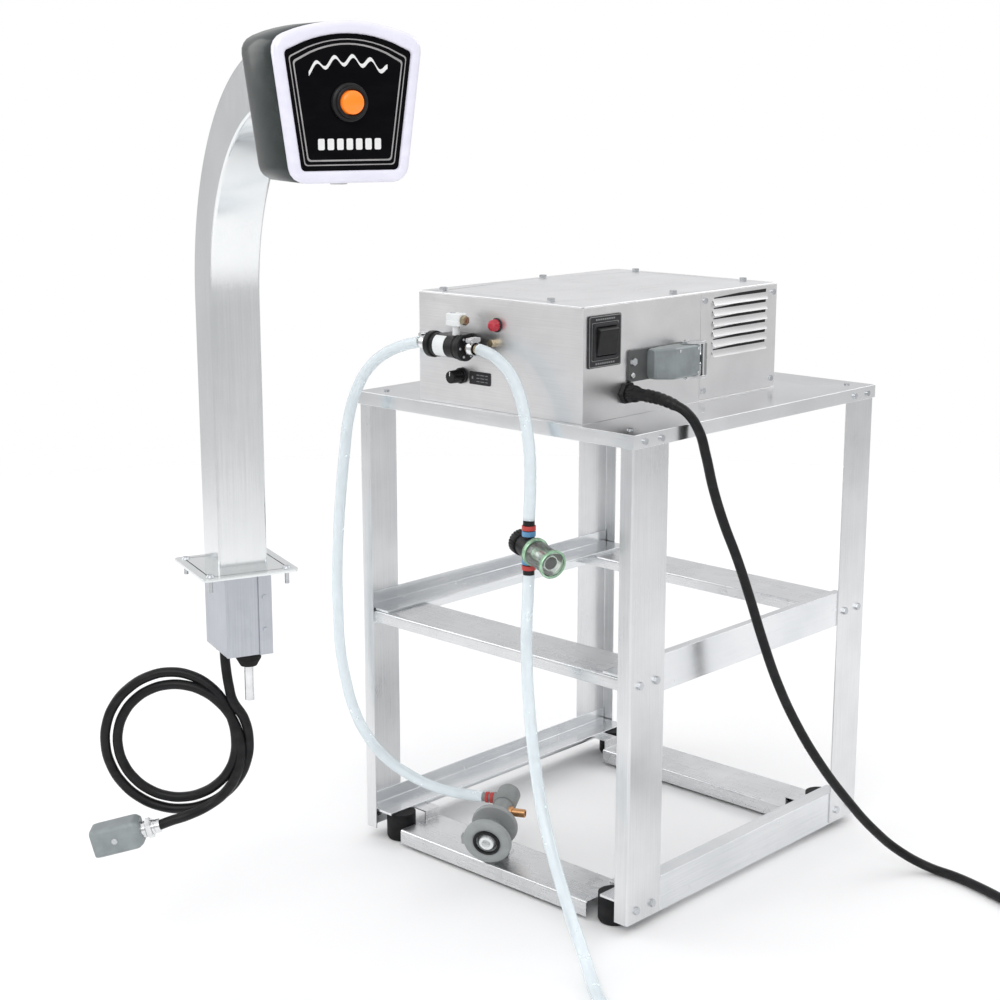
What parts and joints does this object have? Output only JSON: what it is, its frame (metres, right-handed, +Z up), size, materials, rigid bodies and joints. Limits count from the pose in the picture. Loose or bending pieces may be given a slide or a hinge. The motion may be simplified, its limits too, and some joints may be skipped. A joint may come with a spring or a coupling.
{
  "type": "topping dispenser with rack-mounted pump and countertop tower",
  "caption": "Heated-topping dispenser: boxed gear pump on an open steel rack with bag shelves, hoses and a strainer, beside a gooseneck countertop tower with a push-button head.",
  "frame": {"origin": "on the floor, at the bottom centre of the box round the rack, pump case and tower, cords left out", "axes": "+Z up; -Y is the front of the rack, +X its right side; the tower stands in front of the rack and faces right and a little forward"},
  "size_m": [0.89, 0.9822, 0.9662],
  "materials": {
    "posts": "satin brushed",
    "side_rails": "mill finish",
    "cross_ties": "mill finish",
    "top_panel": "polished",
    "rubber_feet": "matt",
    "rack_bolts": "zinc plated",
    "case_chassis": "satin brushed",
    "case_lid": "satin brushed",
    "vent_panel": "satin brushed",
    "case_screws": "zinc plated",
    "rocker_frame": "fine texture",
    "power_rocker": "satin",
    "signal_lamp": "clear tinted",
    "control_knob": "satin",
    "label_plate": "satin",
    "cord_gland": "satin",
    "socket_housing": "light texture",
    "locking_lever": "satin",
    "pump_housing": "satin",
    "drive_gear": "machined",
    "idler_gear": "machined",
    "pressure_valve": "satin",
    "hose_barbs": "machined",
    "worm_clamps": "satin",
    "drive_motor": "satin",
    "fan_frame": "satin",
    "fan_rotor": "satin",
    "control_board": "satin",
    "connector_cradle": "mill finish",
    "bag_connector_body": "satin",
    "bag_connector_collar": "satin",
    "inlet_hose": "translucent vinyl",
    "outlet_hose_upper": "translucent vinyl",
    "strainer_head": "satin",
    "strainer_bowl": "clear",
    "strainer_screen": "woven mesh",
    "pinch_clamps": "satin",
    "outlet_hose_lower": "translucent vinyl",
    "outlet_hose_coil": "translucent vinyl",
    "outlet_hose_fitting": "machined",
    "power_cord": "satin",
    "power_cord_coil": "satin",
    "power_plug": "satin",
    "tower_flange": "polished",
    "tower_tube": "polished",
    "flange_screws": "machined",
    "service_box": "galvanised",
    "service_cover": "galvanised",
    "base_grommets": "satin",
    "feed_line": "satin",
    "spout": "satin",
    "head_shell": "satin",
    "head_bezel": "gloss",
    "face_plate": "gloss",
    "button_guard": "satin",
    "dispense_button": "lit lens",
    "button_switch": "satin",
    "tower_cable": "satin",
    "tower_cable_coil": "satin",
    "cable_plug": "light texture"
  },
  "bodies": {
    "frame": {"posts": "posts", "side_rails": "side_rails", "cross_ties": "cross_ties", "top_panel": "top_panel", "rubber_feet": "rubber_feet", "rack_bolts": "rack_bolts", "case_chassis": "case_chassis", "case_lid": "case_lid", "vent_panel": "vent_panel", "case_screws": "case_screws", "rocker_frame": "rocker_frame", "signal_lamp": "signal_lamp", "label_plate": "label_plate", "cord_gland": "cord_gland", "socket_housing": "socket_housing", "pump_housing": "pump_housing", "pressure_valve": "pressure_valve", "hose_barbs": "hose_barbs", "worm_clamps": "worm_clamps", "drive_motor": "drive_motor", "fan_frame": "fan_frame", "control_board": "control_board", "connector_cradle": "connector_cradle", "bag_connector_body": "bag_connector_body", "inlet_hose": "inlet_hose", "outlet_hose_upper": "outlet_hose_upper", "strainer_head": "strainer_head", "strainer_bowl": "strainer_bowl", "strainer_screen": "strainer_screen", "pinch_clamps": "pinch_clamps", "outlet_hose_lower": "outlet_hose_lower", "outlet_hose_coil": "outlet_hose_coil", "outlet_hose_fitting": "outlet_hose_fitting", "power_cord": "power_cord", "power_cord_coil": "power_cord_coil", "power_plug": "power_plug", "tower_flange": "tower_flange", "tower_tube": "tower_tube", "flange_screws": "flange_screws", "service_box": "service_box", "service_cover": "service_cover", "base_grommets": "base_grommets", "feed_line": "feed_line", "spout": "spout", "head_shell": "head_shell", "head_bezel": "head_bezel", "face_plate": "face_plate", "button_guard": "button_guard", "button_switch": "button_switch", "tower_cable": "tower_cable", "tower_cable_coil": "tower_cable_coil", "cable_plug": "cable_plug"},
    "button": {"dispense_button": "dispense_button"},
    "rocker": {"power_rocker": "power_rocker"},
    "knob": {"control_knob": "control_knob"},
    "lever": {"locking_lever": "locking_lever"},
    "collar": {"bag_connector_collar": "bag_connector_collar"},
    "pump_drive": {"drive_gear": "drive_gear"},
    "pump_idler": {"idler_gear": "idler_gear"},
    "fan": {"fan_rotor": "fan_rotor"}
  },
  "joints": [
    {"name": "button_press", "type": "slide", "parent": "frame", "child": "button", "axis": [-0.9397, 0.342, 0], "range_m": [0, 0.003], "stiffness_N_per_m": 600},
    {"name": "rocker_tilt", "type": "hinge", "parent": "frame", "child": "rocker", "pos_m": [0.094, 0.061, 0.6485], "axis": [0, 1, 0], "range_deg": [-20, 0]},
    {"name": "knob_turn", "type": "hinge", "parent": "frame", "child": "knob", "pos_m": [-0.085, 0.027, 0.596], "axis": [0, -1, 0], "range_deg": [0, 270]},
    {"name": "lever_swing", "type": "hinge", "parent": "frame", "child": "lever", "pos_m": [0.109, 0.186, 0.6165], "axis": [0, 0, -1], "range_deg": [0, 80]},
    {"name": "collar_slide", "type": "slide", "parent": "frame", "child": "collar", "axis": [-0.4405, 0.8645, 0.2419], "range_m": [0, 0.008], "stiffness_N_per_m": 500},
    {"name": "pump_drive_spin", "type": "hinge", "parent": "frame", "child": "pump_drive", "pos_m": [-0.0815, 0.003, 0.62785], "axis": [0, 1, 0], "continuous": true},
    {"name": "pump_idler_spin", "type": "hinge", "parent": "frame", "child": "pump_idler", "pos_m": [-0.0815, 0.003, 0.63715], "axis": [0, 1, 0], "continuous": true},
    {"name": "fan_spin", "type": "hinge", "parent": "frame", "child": "fan", "pos_m": [0.0675, 0.305, 0.6215], "axis": [1, 0, 0], "continuous": true}
  ],
  "couplings": [
    {"joint": "pump_idler_spin", "follows": "pump_drive_spin", "ratio": -1}
  ]
}
